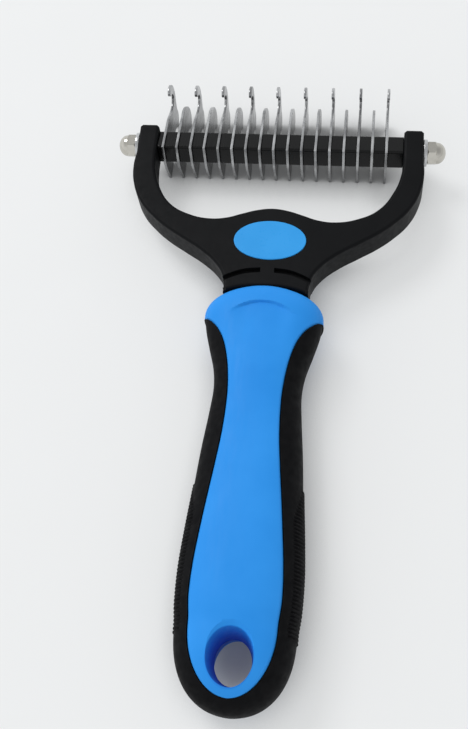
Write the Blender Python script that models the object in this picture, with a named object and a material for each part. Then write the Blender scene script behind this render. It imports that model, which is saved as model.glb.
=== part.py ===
"""Dematting comb: steel blades on a shaft, held in a black yoke on a soft-grip handle.

Frame: metres, +X across the head, +Y from the handle's end to the head, +Z up. The comb lies on
its blade tips and on the belly of its handle, so the floor is the plane Z = 0.
The outlines below are in millimetres and are measured from the blade shaft's centre.
"""

import math

import bmesh
import bpy
from mathutils import Matrix, Vector

MM = 0.001
GAP = 0.3 * MM

# The shaft's centre, and the span of the yoke's arms along X.
SHAFT_AT = Vector((0.0, 73.75 * MM, 12.8 * MM))
ARM_INSIDE = 37.8 * MM
ARM_OUTSIDE = 43.7 * MM
YOKE_THICKNESS = 10.0 * MM
YOKE_EDGE_ROUND = 1.2 * MM

# The blade pack.
BLADES = 17
PITCH = 4.28 * MM
PACK_SHIFT = -1.6 * MM
PLATE = 0.8 * MM
SHAFT_RADIUS = 2.0 * MM
BORE_RADIUS = SHAFT_RADIUS + GAP
SPACER_HALF, SPACER_CORNER = 3.45, 0.7
PACK_LEAN = math.radians(-10.0)
SHAFT_HALF = 48.6 * MM

# Washers and cap nuts.
WASHER_THICKNESS = 0.9 * MM
WASHER_RADIUS = 4.1 * MM
NUT_LENGTH = 5.4 * MM
NUT_FLATS = 6.6 * MM
NUT_BASE = 2.6 * MM
NUT_WALL_END = 1.0 * MM

# The handle, in millimetres from the shaft. Both its ends are slightly squared ellipses; towards
# their tips each grows thinner by its share of slimming.
TOP_CENTRE, TOP_RISE, TOP_HALF_WIDTH, TOP_HALF_DEPTH = -60.2, 9.2, 17.1, 9.4
TOP_SLIMMING, TOP_POWER = 0.45, 2.35
END_CENTRE, END_DROP, END_HALF_WIDTH, END_HALF_DEPTH = -148.0, 20.6, 16.0, 11.9
END_SLIMMING, END_POWER = 0.85, 2.25
HANDLE_STATIONS = (  # (y, half width, half depth) between the two ends
    (-64.0, 16.6, 9.5),
    (-69.6, 15.1, 9.6),
    (-76.0, 13.3, 9.6),
    (-82.0, 12.65, 9.7),
    (-89.0, 13.1, 10.0),
    (-100.0, 14.2, 10.8),
    (-112.0, 15.1, 11.6),
    (-123.0, 16.0, 12.4),
    (-133.0, 16.6, 12.8),
    (-142.0, 16.5, 12.6),
)
SECTION_POWER = 2.5
SECTION_POINTS = 24
WALL = 2.4

# The tongue of the yoke inside the handle, and the hanging hole.
TANG_HALF_WIDTH = 4.6 * MM
TANG_HALF_DEPTH = 1.9 * MM
TANG_START = -48.0 * MM
TANG_END = -105.0 * MM
HOLE_AT = -155.5 * MM
HOLE_RADIUS = 4.8 * MM
HOLE_WAIST_HALF = 0.8 * MM
HOLE_FLARE = 0.10
HOLE_STRETCH = 1.22
# Past the outside of the comb, for cutters.
FAR = 20.0 * MM

OVAL_AT = -35.5 * MM
OVAL_HALF = (10.6 * MM, 6.5 * MM)
OVAL_THICKNESS = 0.9 * MM
OVAL_PROUD = 0.2 * MM
GROOVE_DEPTH = 1.6 * MM

# Outlines, right half only, in millimetres. A point ending in True is a sharp corner.
YOKE_RIGHT = (
    (4.5, -24.9), (9.0, -26.3), (13.5, -27.8), (18.7, -28.3), (25.0, -27.0), (31.0, -23.6),
    (35.3, -17.2), (37.2, -11.5), (37.8, -6.0, True), (37.8, 4.2, True), (38.5, 4.9, True),
    (43.0, 4.9, True), (43.7, 4.2, True), (43.7, -5.2, True), (44.1, -10.0), (43.2, -16.5),
    (40.2, -23.2), (36.0, -28.0), (31.5, -31.8), (26.0, -35.4), (20.0, -39.3), (15.6, -43.2),
    (13.1, -47.0), (12.3, -50.5), (12.3, -52.75, True), (9.0, -51.5), (4.5, -50.75),
)
YOKE_BRIDGE = (0.0, -24.3)
YOKE_NECK = (0.0, -50.6)
GROOVE_RIGHT = (
    (2.0, -44.6, True), (7.0, -45.3), (14.5, -48.6, True),
    (14.5, -50.4, True), (7.0, -47.0), (2.0, -46.2, True),
)
FACE_RIGHT = (  # the edge of the blue face
    (22.0, -45.0, True), (22.0, -60.4, True), (17.4, -60.4), (14.8, -62.6), (12.2, -65.6),
    (10.2, -69.4), (8.7, -74.6), (7.8, -80.5), (7.4, -87.0), (7.7, -97.0), (8.6, -106.0),
    (9.6, -114.5), (10.6, -123.5), (11.5, -133.0), (11.75, -141.0), (11.2, -148.0),
    (9.9, -154.5), (7.9, -159.6), (4.8, -163.4),
)
FACE_END = (0.0, -164.9)
HOLLOW_RIGHT = (  # the hollow inside the two shells
    (7.5, -54.8), (12.4, -58.0), (13.0, -60.6), (10.4, -65.0), (8.0, -69.6), (6.5, -75.0),
    (5.6, -81.0), (5.3, -87.0), (5.6, -97.0), (6.5, -106.0), (8.4, -123.0), (9.2, -133.0),
    (8.6, -139.5), (6.0, -143.4),
)
HOLLOW_TOP = (0.0, -53.9)
HOLLOW_END = (0.0, -144.3)

# Blade outlines, as (towards the head, up) from the shaft's centre.
BLADE_BACK = (
    (-3.6, 4.75, True), (0.6, 4.05), (4.8, 3.2), (8.8, 2.3),
)
SHORT_NOSE = (
    (13.3, 1.2), (16.8, -1.6), (19.2, -5.2), (20.0, -8.4), (19.4, -11.0),
)
LONG_HOOK = (
    (12.2, 0.6), (15.2, -0.7), (17.3, -0.7), (18.7, 0.4), (18.6, 2.0), (17.6, 3.4),
    (16.3, 4.3), (15.4, 5.2), (15.3, 6.2), (16.2, 7.0), (17.9, 6.8), (19.7, 5.4), (20.8, 3.1),
    (21.1, 0.6), (20.8, -1.9), (20.1, -4.2), (19.8, -6.4), (20.2, -8.8), (19.4, -11.2),
)
BLADE_TEETH = (
    (17.6, -12.8, True), (15.0, -10.4), (11.8, -8.8), (8.2, -8.7), (5.0, -10.4),
    (2.4, -12.8, True), (-2.9, -12.8, True), (-3.7, -10.0), (-4.4, -6.6), (-4.8, -2.9),
    (-4.25, 1.0),
)
# Turns a flat outline's (x, y, z) into the pack's (along the shaft, towards the head, up).
STAND = Matrix(((0, 0, 1, 0), (1, 0, 0, 0), (0, 1, 0, 0), (0, 0, 0, 1)))


def clear_scene():
    for thing in list(bpy.data.objects):
        bpy.data.objects.remove(thing, do_unlink=True)


def make_collection(name):
    group = bpy.data.collections.new(name)
    bpy.context.scene.collection.children.link(group)
    return group


def make_material(name, colour, roughness, metallic=0.0):
    material = bpy.data.materials.new(name)
    material.use_nodes = True
    shader = material.node_tree.nodes["Principled BSDF"]
    shader.inputs["Base Color"].default_value = (*colour, 1.0)
    shader.inputs["Roughness"].default_value = roughness
    shader.inputs["Metallic"].default_value = metallic
    return material


def add_object(name, mesh, group, material=None):
    thing = bpy.data.objects.new(name, mesh)
    group.objects.link(thing)
    if material and not mesh.materials:
        mesh.materials.append(material)
    return thing


def add_cutter(name, mesh):
    cutter = add_object(name, mesh, CUTTERS)
    cutter.hide_render = True
    cutter.display_type = "WIRE"
    return cutter


def cut(thing, cutter, operation="DIFFERENCE"):
    modifier = thing.modifiers.new(cutter.name, "BOOLEAN")
    modifier.operation = operation
    modifier.solver = "EXACT"
    modifier.object = cutter


def smooth_round(mesh, angle=40.0):
    mesh.shade_smooth()
    mesh.set_sharp_from_angle(angle=math.radians(angle))


def mirrored_loop(right, first, last):
    """A closed outline from its right half, with the two points on the centre line."""
    left = [(-point[0], *point[1:]) for point in reversed(right)]
    return [first, *right, last, *left]


def add_spline(curve, points, resolution):
    """One closed smooth loop in metres from points in millimetres."""
    curve.resolution_u = resolution
    spline = curve.splines.new("BEZIER")
    spline.bezier_points.add(len(points) - 1)
    spline.use_cyclic_u = True
    for knot, point in zip(spline.bezier_points, points):
        kind = "VECTOR" if len(point) > 2 else "AUTO"
        knot.co = (point[0] * MM, point[1] * MM, 0.0)
        knot.handle_left_type = kind
        knot.handle_right_type = kind


def plate_mesh(name, loops, low, high, resolution=2, edge_round=0.0):
    """A flat outline, filled and extruded from low to high, as a closed mesh."""
    curve = bpy.data.curves.new(name, "CURVE")
    curve.dimensions = "2D"
    curve.fill_mode = "BOTH"
    curve.extrude = (high - low) / 2 - edge_round
    curve.bevel_depth = edge_round
    curve.bevel_resolution = 1
    curve.offset = -edge_round
    for points in loops:
        add_spline(curve, points, resolution)
    holder = bpy.data.objects.new(name + "_outline", curve)
    bpy.context.scene.collection.objects.link(holder)
    depsgraph = bpy.context.evaluated_depsgraph_get()
    mesh = bpy.data.meshes.new_from_object(holder.evaluated_get(depsgraph))
    mesh.name = name
    bpy.data.objects.remove(holder, do_unlink=True)
    bpy.data.curves.remove(curve)
    finish_mesh(mesh, Matrix.Translation((0.0, 0.0, (high + low) / 2)))
    return mesh


def finish_mesh(mesh, placing=None):
    """Weld a mesh's loose caps, face it outwards and put it in place."""
    work = bmesh.new()
    work.from_mesh(mesh)
    bmesh.ops.remove_doubles(work, verts=work.verts, dist=0.000001)
    bmesh.ops.recalc_face_normals(work, faces=work.faces)
    if placing:
        bmesh.ops.transform(work, matrix=placing, verts=work.verts)
    work.to_mesh(mesh)
    work.free()


def circle_loop(radius, points=16):
    """A circle about the shaft as outline points in millimetres."""
    turn = 2 * math.pi / points
    return [
        (radius / MM * math.cos(turn * i), radius / MM * math.sin(turn * i)) for i in range(points)
    ]


def turned_mesh(name, profile, sides=20):
    """A profile of (radius, height) turned about local Z. It runs down its outer side."""
    work = bmesh.new()
    points = [work.verts.new((radius, 0.0, height)) for radius, height in profile]
    on_axis = profile[0][0] == 0.0 and profile[-1][0] == 0.0
    pairs = list(zip(points, points[1:]))
    if not on_axis:
        pairs.append((points[-1], points[0]))
    edges = [work.edges.new(pair) for pair in pairs]
    bmesh.ops.spin(
        work,
        geom=points + edges,
        axis=(0.0, 0.0, 1.0),
        cent=(0.0, 0.0, 0.0),
        angle=2 * math.pi,
        steps=sides,
        use_merge=True,
    )
    mesh = bpy.data.meshes.new(name)
    work.to_mesh(mesh)
    work.free()
    finish_mesh(mesh)
    smooth_round(mesh)
    return mesh


def along_x(centre, facing=1.0):
    """Places a turned piece with its local +Z along world +X, or along -X."""
    return Matrix.Translation(centre) @ Matrix.Rotation(facing * math.pi / 2, 4, "Y")


def box_mesh(name, low, high):
    work = bmesh.new()
    size = Vector(high) - Vector(low)
    centre = (Vector(high) + Vector(low)) / 2
    placing = Matrix.Translation(centre) @ Matrix.Diagonal((*size, 1.0))
    bmesh.ops.create_cube(work, size=1.0, matrix=placing)
    mesh = bpy.data.meshes.new(name)
    work.to_mesh(mesh)
    work.free()
    return mesh


def handle_sections():
    """The handle's (y, half width, half depth) from top to end, in millimetres."""
    sections = []
    squareness = 2.0 / TOP_POWER
    for degrees in (84, 70, 54, 36, 18, 0):
        angle = math.radians(degrees)
        depth = TOP_HALF_DEPTH * (1 - TOP_SLIMMING * (1 - math.cos(angle)))
        half = TOP_HALF_WIDTH * math.cos(angle) ** squareness
        sections.append((TOP_CENTRE + TOP_RISE * math.sin(angle) ** squareness, half, depth))
    sections.extend(HANDLE_STATIONS)
    squareness = 2.0 / END_POWER
    for degrees in (0, 14, 28, 42, 55, 67, 78, 86):
        angle = math.radians(degrees)
        depth = END_HALF_DEPTH * (1 - END_SLIMMING * (1 - math.cos(angle)))
        half = END_HALF_WIDTH * math.cos(angle) ** squareness
        sections.append((END_CENTRE - END_DROP * math.sin(angle) ** squareness, half, depth))
    return sections


def handle_mesh(name, inset=0.0):
    """The whole handle's outer form, lofted through its sections, less an even inset."""
    power = 2.0 / SECTION_POWER
    work = bmesh.new()
    rings = []
    for y, half_width, half_depth in handle_sections():
        if half_width <= inset + 1.0 and inset:
            continue
        ring = []
        for i in range(SECTION_POINTS):
            angle = 2 * math.pi * (i + 0.5) / SECTION_POINTS
            across = math.copysign(abs(math.cos(angle)) ** power, math.cos(angle))
            up = math.copysign(abs(math.sin(angle)) ** power, math.sin(angle))
            x = (half_width - inset) * across * MM
            ring.append(work.verts.new((x, y * MM, (half_depth - inset) * up * MM)))
        rings.append(ring)
    for near, far in zip(rings, rings[1:]):
        for i in range(SECTION_POINTS):
            j = (i + 1) % SECTION_POINTS
            work.faces.new((near[i], near[j], far[j], far[i]))
    work.faces.new(rings[0])
    work.faces.new(reversed(rings[-1]))
    mesh = bpy.data.meshes.new(name)
    work.to_mesh(mesh)
    work.free()
    finish_mesh(mesh)
    smooth_round(mesh, 35.0)
    return mesh


def face_outline(grow):
    """The blue face's outline, moved outwards by grow millimetres."""
    right = [(point[0] + grow, point[1], *point[2:]) for point in FACE_RIGHT]
    return mirrored_loop(right, (0.0, -45.0, True), (FACE_END[0], FACE_END[1] - grow))


def build_yoke():
    """The black yoke with its arms' bores, oval pockets, neck grooves and tongue."""
    half = YOKE_THICKNESS / 2
    outline = mirrored_loop(YOKE_RIGHT, YOKE_BRIDGE, YOKE_NECK)
    mesh = plate_mesh("yoke_frame", [outline], -half, half, 2, YOKE_EDGE_ROUND)
    yoke = add_object("yoke_frame", mesh, COMB, BLACK_PLASTIC)
    yoke.location = SHAFT_AT

    tongue_low = (-TANG_HALF_WIDTH, TANG_END, -TANG_HALF_DEPTH)
    tongue_high = (TANG_HALF_WIDTH, TANG_START, TANG_HALF_DEPTH)
    tongue = add_cutter("tongue", box_mesh("tongue", tongue_low, tongue_high))
    tongue.location = SHAFT_AT
    cut(yoke, tongue, "UNION")

    reach = ARM_OUTSIDE + YOKE_THICKNESS
    rod = [(0.0, reach), (BORE_RADIUS, reach), (BORE_RADIUS, -reach), (0.0, -reach)]
    bore = add_cutter("arm_bore", turned_mesh("arm_bore", rod))
    bore.matrix_world = along_x(SHAFT_AT)
    cut(yoke, bore)

    floor = half + OVAL_PROUD - OVAL_THICKNESS - GAP
    for side, low, high in (("front", floor, half * 2), ("back", -half * 2, -floor)):
        pocket = plate_mesh("pocket_" + side, [oval_loop(GAP)], low, high)
        cutter = add_cutter("pocket_" + side, pocket)
        cutter.location = SHAFT_AT
        cut(yoke, cutter)

    groove_floor = half - GROOVE_DEPTH
    left = [(-point[0], *point[1:]) for point in GROOVE_RIGHT]
    for side, low, high in (
        ("front", groove_floor, half * 2),
        ("back", -half * 2, -groove_floor),
    ):
        groove = plate_mesh("groove_" + side, [GROOVE_RIGHT, left], low, high)
        cutter = add_cutter("groove_" + side, groove)
        cutter.location = SHAFT_AT
        cut(yoke, cutter)


def oval_loop(grow):
    """The oval inlay's outline in millimetres, grown by a clearance."""
    points = 12
    turn = 2 * math.pi / points
    across = (OVAL_HALF[0] + grow) / MM
    along = (OVAL_HALF[1] + grow) / MM
    middle = OVAL_AT / MM
    return [
        (across * math.cos(turn * i), middle + along * math.sin(turn * i)) for i in range(points)
    ]


def build_ovals():
    """The two flat blue ovals let into the yoke's faces."""
    top = YOKE_THICKNESS / 2 + OVAL_PROUD
    for side, low, high in (
        ("front", top - OVAL_THICKNESS, top),
        ("back", -top, OVAL_THICKNESS - top),
    ):
        name = "oval_inlay_" + side
        mesh = plate_mesh(name, [oval_loop(0.0)], low, high)
        inlay = add_object(name, mesh, COMB, BLUE_PLASTIC)
        inlay.location = SHAFT_AT


def hanging_hole():
    """The hanging hole's cutter: narrow in the middle, and wider towards both faces."""
    reach, bend = FAR, HOLE_WAIST_HALF
    mouth = HOLE_RADIUS + (reach - bend) * HOLE_FLARE
    profile = [
        (0.0, reach), (mouth, reach), (HOLE_RADIUS, bend),
        (HOLE_RADIUS, -bend), (mouth, -reach), (0.0, -reach),
    ]
    mesh = turned_mesh("hanging_hole", profile, 28)
    stretch = Matrix.Scale(HOLE_STRETCH, 4, (0, 1, 0))
    mesh.transform(Matrix.Translation((0.0, HOLE_AT, 0.0)) @ stretch)
    cutter = add_cutter("hanging_hole", mesh)
    cutter.location = SHAFT_AT
    return cutter


def build_handle():
    """Two blue shells that meet at the mid-plane, and the black grip round their sides."""
    hole = hanging_hole()

    hollow = add_cutter("hollow", handle_mesh("hollow", WALL))
    hollow.location = SHAFT_AT
    bounds_loop = mirrored_loop(HOLLOW_RIGHT, HOLLOW_TOP, HOLLOW_END)
    bounds = plate_mesh("hollow_bounds", [bounds_loop], -FAR, FAR)
    hollow_bounds = add_cutter("hollow_bounds", bounds)
    hollow_bounds.location = SHAFT_AT
    cut(hollow, hollow_bounds, "INTERSECT")

    slot_low = (-TANG_HALF_WIDTH - GAP, TANG_END - GAP, -TANG_HALF_DEPTH - GAP)
    slot_high = (TANG_HALF_WIDTH + GAP, TANG_START, TANG_HALF_DEPTH + GAP)
    slot = add_cutter("tongue_slot", box_mesh("tongue_slot", slot_low, slot_high))
    slot.location = SHAFT_AT

    for side, low, high in (("front", GAP / 2, FAR), ("back", -FAR, -GAP / 2)):
        name = f"handle_shell_{side}"
        shell = add_object(name, handle_mesh(name), COMB, BLUE_PLASTIC)
        shell.location = SHAFT_AT
        blank = plate_mesh("face_" + side, [face_outline(-GAP / MM / 2)], low, high)
        cutter = add_cutter("face_" + side, blank)
        cutter.location = SHAFT_AT
        cut(shell, cutter, "INTERSECT")
        cut(shell, hollow)
        cut(shell, slot)
        cut(shell, hole)

    grip = add_object("rubber_grip", handle_mesh("rubber_grip"), COMB, BLACK_RUBBER)
    grip.location = SHAFT_AT
    core = plate_mesh("grip_core", [face_outline(GAP / MM / 2)], -FAR, FAR)
    cutter = add_cutter("grip_core", core)
    cutter.location = SHAFT_AT
    cut(grip, cutter)


def build_blade_mesh(name, tip):
    """A stamped plate, standing across the shaft, from its nose outline."""
    outline = [*BLADE_BACK, *tip, *BLADE_TEETH]
    mesh = plate_mesh(name, [outline, circle_loop(BORE_RADIUS, 8)], -PLATE / 2, PLATE / 2)
    mesh.transform(STAND)
    return mesh


def build_spacer_mesh(name, length):
    """A square spacer with rounded edges and a round bore, leaning like the blades' backs."""
    near, cut_back = SPACER_HALF - SPACER_CORNER, SPACER_HALF - 0.3 * SPACER_CORNER
    corner = ((SPACER_HALF, near), (cut_back, cut_back), (near, SPACER_HALF))
    outline = []
    for quarter in range(4):
        turn = Matrix.Rotation(quarter * math.pi / 2 + PACK_LEAN, 2)
        outline.extend((*(turn @ Vector(point)), True) for point in corner)
    mesh = plate_mesh(name, [outline, circle_loop(BORE_RADIUS, 12)], -length / 2, length / 2)
    mesh.transform(STAND)
    return mesh


def ring_mesh(name, radius, length, sides=18):
    half = length / 2
    profile = [(radius, half), (radius, -half), (BORE_RADIUS, -half), (BORE_RADIUS, half)]
    return turned_mesh(name, profile, sides)


def build_blade_pack():
    """The shaft, the blades in turn long and short, and the spacers between them."""
    rod = [
        (0.0, SHAFT_HALF), (SHAFT_RADIUS, SHAFT_HALF),
        (SHAFT_RADIUS, -SHAFT_HALF), (0.0, -SHAFT_HALF),
    ]
    shaft = add_object("blade_shaft", turned_mesh("blade_shaft", rod), COMB, STEEL)
    shaft.matrix_world = along_x(SHAFT_AT)

    long_blade = build_blade_mesh("long_blade", LONG_HOOK)
    short_blade = build_blade_mesh("short_blade", SHORT_NOSE)
    spacer = build_spacer_mesh("spacer", PITCH - PLATE - 2 * GAP)
    first = PACK_SHIFT - PITCH * (BLADES - 1) / 2
    for i in range(BLADES):
        is_long = i % 2 == 0
        kind = "long" if is_long else "short"
        name = f"blade_{kind}_{i // 2 + 1:02d}"
        blade = add_object(name, long_blade if is_long else short_blade, COMB, STEEL)
        blade.location = SHAFT_AT + Vector((first + i * PITCH, 0.0, 0.0))
        if i:
            place = SHAFT_AT + Vector((first + (i - 0.5) * PITCH, 0.0, 0.0))
            piece = add_object(f"spacer_{i:02d}", spacer, COMB, BLACK_GLOSS)
            piece.location = place

    last = first + (BLADES - 1) * PITCH
    ends = (
        ("left", -ARM_INSIDE + GAP, first - PLATE / 2 - GAP),
        ("right", last + PLATE / 2 + GAP, ARM_INSIDE - GAP),
    )
    for side, low, high in ends:
        name = "end_spacer_" + side
        piece = add_object(name, build_spacer_mesh(name, high - low), COMB, BLACK_GLOSS)
        piece.location = SHAFT_AT + Vector(((low + high) / 2, 0.0, 0.0))


def nut_profile():
    """The cap nut's turned form with its blind bore. Its base is at height 0."""
    corner = NUT_FLATS / 2 / math.cos(math.pi / 6)
    bore_end = NUT_LENGTH - NUT_WALL_END
    dome = []
    dome_radius = NUT_FLATS / 2
    for degrees in (90, 70, 50, 30, 12):
        angle = math.radians(degrees)
        height = NUT_BASE + (NUT_LENGTH - NUT_BASE) * math.sin(angle)
        dome.append((dome_radius * math.cos(angle) if degrees < 90 else 0.0, height))
    return [
        *dome,
        (corner, NUT_BASE),
        (corner, 0.0),
        (BORE_RADIUS, 0.0),
        (BORE_RADIUS, bore_end),
        (0.0, bore_end),
    ]


def build_fasteners():
    """A washer and a domed hexagonal cap nut outside each arm."""
    washer = ring_mesh("washer", WASHER_RADIUS, WASHER_THICKNESS)
    nut = turned_mesh("cap_nut", nut_profile())
    prism = bmesh.new()
    corner = NUT_FLATS / 2 / math.cos(math.pi / 6)
    bmesh.ops.create_cone(
        prism, cap_ends=True, segments=6, radius1=corner, radius2=corner, depth=4 * NUT_LENGTH
    )
    prism_mesh = bpy.data.meshes.new("nut_flats")
    prism.to_mesh(prism_mesh)
    prism.free()

    washer_middle = ARM_OUTSIDE + GAP + WASHER_THICKNESS / 2
    nut_base = washer_middle + WASHER_THICKNESS / 2 + GAP
    for side, facing in (("left", -1.0), ("right", 1.0)):
        ring = add_object("washer_" + side, washer, COMB, STEEL)
        ring.matrix_world = along_x(SHAFT_AT + Vector((facing * washer_middle, 0.0, 0.0)), facing)
        place = along_x(SHAFT_AT + Vector((facing * nut_base, 0.0, 0.0)), facing)
        flats = add_cutter("flats_" + side, prism_mesh)
        flats.matrix_world = place
        cap = add_object("cap_nut_" + side, nut, COMB, CHROME)
        cap.matrix_world = place
        cut(cap, flats, "INTERSECT")


clear_scene()
COMB = make_collection("dematting_comb")
CUTTERS = make_collection("cutters")
BLACK_PLASTIC = make_material("black_plastic", (0.014, 0.014, 0.016), 0.45)
BLACK_GLOSS = make_material("black_gloss", (0.008, 0.008, 0.010), 0.25)
BLACK_RUBBER = make_material("black_rubber", (0.012, 0.012, 0.014), 0.7)
BLUE_PLASTIC = make_material("blue_plastic", (0.05, 0.30, 0.80), 0.4)
STEEL = make_material("steel", (0.55, 0.56, 0.58), 0.3, 1.0)
CHROME = make_material("chrome", (0.80, 0.80, 0.82), 0.12, 1.0)

build_yoke()
build_ovals()
build_handle()
build_blade_pack()
build_fasteners()
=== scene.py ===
"""Looks of a dematting comb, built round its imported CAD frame.

Lengths named here are in millimetres unless a name says otherwise, and are measured from the blade
shaft's centre, which is read from the frame. Every mesh is placed in the frame's own metres.
"""

import math

import bmesh
import bpy
from mathutils import Matrix, Vector


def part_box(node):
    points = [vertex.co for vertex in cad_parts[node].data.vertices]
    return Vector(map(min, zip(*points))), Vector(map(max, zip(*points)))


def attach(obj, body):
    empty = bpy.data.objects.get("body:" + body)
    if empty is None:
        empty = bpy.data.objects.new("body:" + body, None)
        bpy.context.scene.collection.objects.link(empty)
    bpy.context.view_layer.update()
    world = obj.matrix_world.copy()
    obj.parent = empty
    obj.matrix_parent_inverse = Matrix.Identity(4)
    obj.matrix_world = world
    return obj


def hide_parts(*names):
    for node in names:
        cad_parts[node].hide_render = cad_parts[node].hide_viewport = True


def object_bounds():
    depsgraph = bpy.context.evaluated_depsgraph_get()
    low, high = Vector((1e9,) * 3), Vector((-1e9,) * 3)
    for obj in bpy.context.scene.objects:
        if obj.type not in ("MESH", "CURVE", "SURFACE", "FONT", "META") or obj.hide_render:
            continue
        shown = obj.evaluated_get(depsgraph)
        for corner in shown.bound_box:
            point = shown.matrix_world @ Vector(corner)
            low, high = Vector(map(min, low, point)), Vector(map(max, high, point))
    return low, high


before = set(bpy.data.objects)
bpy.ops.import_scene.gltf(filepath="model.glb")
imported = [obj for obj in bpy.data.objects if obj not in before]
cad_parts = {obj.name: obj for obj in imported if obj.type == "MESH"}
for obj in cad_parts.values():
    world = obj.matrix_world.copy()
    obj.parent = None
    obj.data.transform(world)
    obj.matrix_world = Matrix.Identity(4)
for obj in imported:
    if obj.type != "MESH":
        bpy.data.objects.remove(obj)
cad_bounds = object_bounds()

MM = 0.001


def middle(node):
    low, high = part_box(node)
    return (low + high) / 2


SHAFT = middle("blade_shaft")
FLOOR = cad_bounds[0][2]

# The yoke.
YOKE_HALF = (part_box("yoke_frame")[1].z - SHAFT.z) / MM
YOKE_ROUND = 0.9
ARM_OUTSIDE = 43.7
BORE, BORE_REACH = 2.1, 60.0
OVAL_AT = -35.5
OVAL_HALF = (10.6, 6.5)
OVAL_PROUD, OVAL_THICKNESS, OVAL_ROUND = 0.2, 0.9, 0.22
POCKET_GAP, POCKET_DEPTH = 0.12, 0.75
GROOVE_DEPTH = 1.6

# The handle's sections: slightly squared ellipses at both ends, and (y, half width, half depth)
# between them. Towards its tips it grows thinner by its slimming.
SECTION_POWER = 2.5
TOP_CENTRE, TOP_RISE, TOP_WIDTH, TOP_DEPTH = -60.2, 9.2, 17.1, 9.4
TOP_SLIMMING, TOP_POWER = 0.45, 2.35
END_CENTRE, END_DROP, END_WIDTH, END_DEPTH = -148.0, 20.6, 16.0, 11.9
END_SLIMMING, END_POWER = 0.85, 2.25
STATIONS = (
    (-60.2, 17.1, 9.4), (-64.0, 16.6, 9.5), (-69.6, 15.1, 9.6), (-76.0, 13.3, 9.6),
    (-82.0, 12.65, 9.7), (-89.0, 13.1, 10.0), (-100.0, 14.2, 10.8), (-112.0, 15.1, 11.6),
    (-123.0, 16.0, 12.35), (-133.0, 16.6, 12.68), (-142.0, 16.5, 12.52), (-148.0, 16.0, 11.9),
)

# The edge of the blue face: (y, half width), then an ellipse at its lower end.
FACE_TOP = -60.4
FACE_EDGE = (
    (-60.4, 17.2), (-62.6, 14.8), (-65.6, 12.2), (-69.4, 10.2), (-74.6, 8.7), (-80.5, 7.8),
    (-87.0, 7.4), (-97.0, 7.7), (-106.0, 8.6), (-114.5, 9.6), (-123.5, 10.6), (-133.0, 11.5),
    (-141.0, 11.75), (-148.0, 11.2),
)
FACE_DROP = 16.9
FACE_END = END_CENTRE - FACE_DROP

# The seam between face and grip, and the rounding of its two lips from the bottom up, as (away
# from the seam, down) in shares of the lip.
SEAM = 0.06
LIP = 0.5
LIP_CURVE = ((0.0, 1.2), (0.05, 0.55), (0.35, 0.12))

# The thumb rest: a step down at an arc, which fades along the face and towards its sides. The
# sides are in shares of the arc's half width.
THUMB_ARC_AT, THUMB_ARC_BEND, THUMB_ARC_HALF = -57.3, 3.2, 8.8
THUMB_DEPTH, THUMB_STEP, THUMB_FADE = 0.85, 0.45, 20.0
THUMB_SIDE, THUMB_SIDE_WIDTH = 0.45, 0.72

# The ribs, and the pad of ribs round the side of the grip: the angle that it reaches, as a share
# of the grip's, and how it widens from its first share over its growth.
RIB_START, RIB_END, RIB_PITCH, RIB_DEPTH = -109.5, -150.0, 1.0, 0.6
RIB_FADE_IN, RIB_FADE_OUT, RIB_SHARPNESS = 0.8, 0.5, 1.5
PAD_PROUD, PAD_REACH, PAD_BORDER = 0.35, 0.62, 0.10
PAD_FIRST, PAD_GROWTH = 0.25, 16.0

# The spacing of the face's rows, and the share of the way to its end at which its last row keeps
# a width.
FACE_ROW, FINE_ROW, FINE_ROWS_END = 0.9, 0.18, -62.0
TOP_ROWS, TOP_ROWS_KEPT, END_ROWS = 20, 16, 24
NEARLY = 0.9997

# The spacing of the grip's rows: growing at its top, even, six to a rib, and by angle at its end.
GRIP_TOP_GROWTH, GRIP_TOP_ROWS, GRIP_ROW, ROWS_PER_RIB = 0.02, 11, 0.8, 6
FACE_END_ROWS, TIP_ROWS = 16, 14

# The hanging hole, its cutter's waist and throat, and the painted shade down inside it, a deeper
# blue that fades out between two radii.
HOLE_AT, HOLE_RADIUS, HOLE_FLARE, HOLE_STRETCH = -155.5, 4.8, 0.10, 1.22
HOLE_SOFT, HOLE_CLEAR, HOLE_REACH = 0.5, 1.2, 16.0
HOLE_WAIST, HOLE_THROAT = 0.2, (0.12, 0.5)
HOLE_SHADE_BLUE = (0.003, 0.10, 0.58)
HOLE_SHADE_SPAN = (5.0, 6.3)

# The inside of the shells.
WALL, FACE_WALL_EXTRA = 2.4, 0.3
SHELL_FLOOR = 0.12
HOLLOW_SPAN, HOLLOW_STEP = (-54.6, -144.0), 3.0
HOLLOW_CHAMFER = (1.5, 1.8)
SLOT_GAP = 0.3

# The blade pack. The spacers close up to the blades beside them.
PLATE = 0.8
PLATE_EDGE = 0.14
# The heights between which the blades' painted shade, darker towards the bottom, gives way to
# bright steel.
BLADE_SHADE_SPAN = (1.0, 11.0)
SHAFT_RADIUS, PACK_BORE = 2.0, 2.1
SPACER_HALF, SPACER_CORNER, SPACER_EDGE = 3.45, 0.7, 0.18
SPACER_CLOSE = 0.24
PACK_LEAN = math.radians(-10.0)
ROD_SIDES, ROD_CHAMFER, CHAMFER_LENGTH = 40, 0.35, 0.4
THREAD_PITCH, THREAD_DEPTH, THREAD_LENGTH, THREAD_RUN_OUT = 0.7, 0.36, 6.0, 0.4
ROWS_PER_THREAD = 8
LONGEST_ROW = 8.0

# Washers and cap nuts, as they stand on the arms.
WASHER_RADIUS, WASHER_BORE, WASHER_HALF, WASHER_EDGE = 4.1, 2.15, 0.6, 0.22
WASHER_OFF = 0.06
NUT_OFF = 1.32
NUT_FLATS, NUT_BASE, NUT_STEP, NUT_CHAMFER = 6.6, 2.6, 0.25, 0.35
NUT_BORE, NUT_TOP_WALL = 2.12, 1.0

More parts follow.
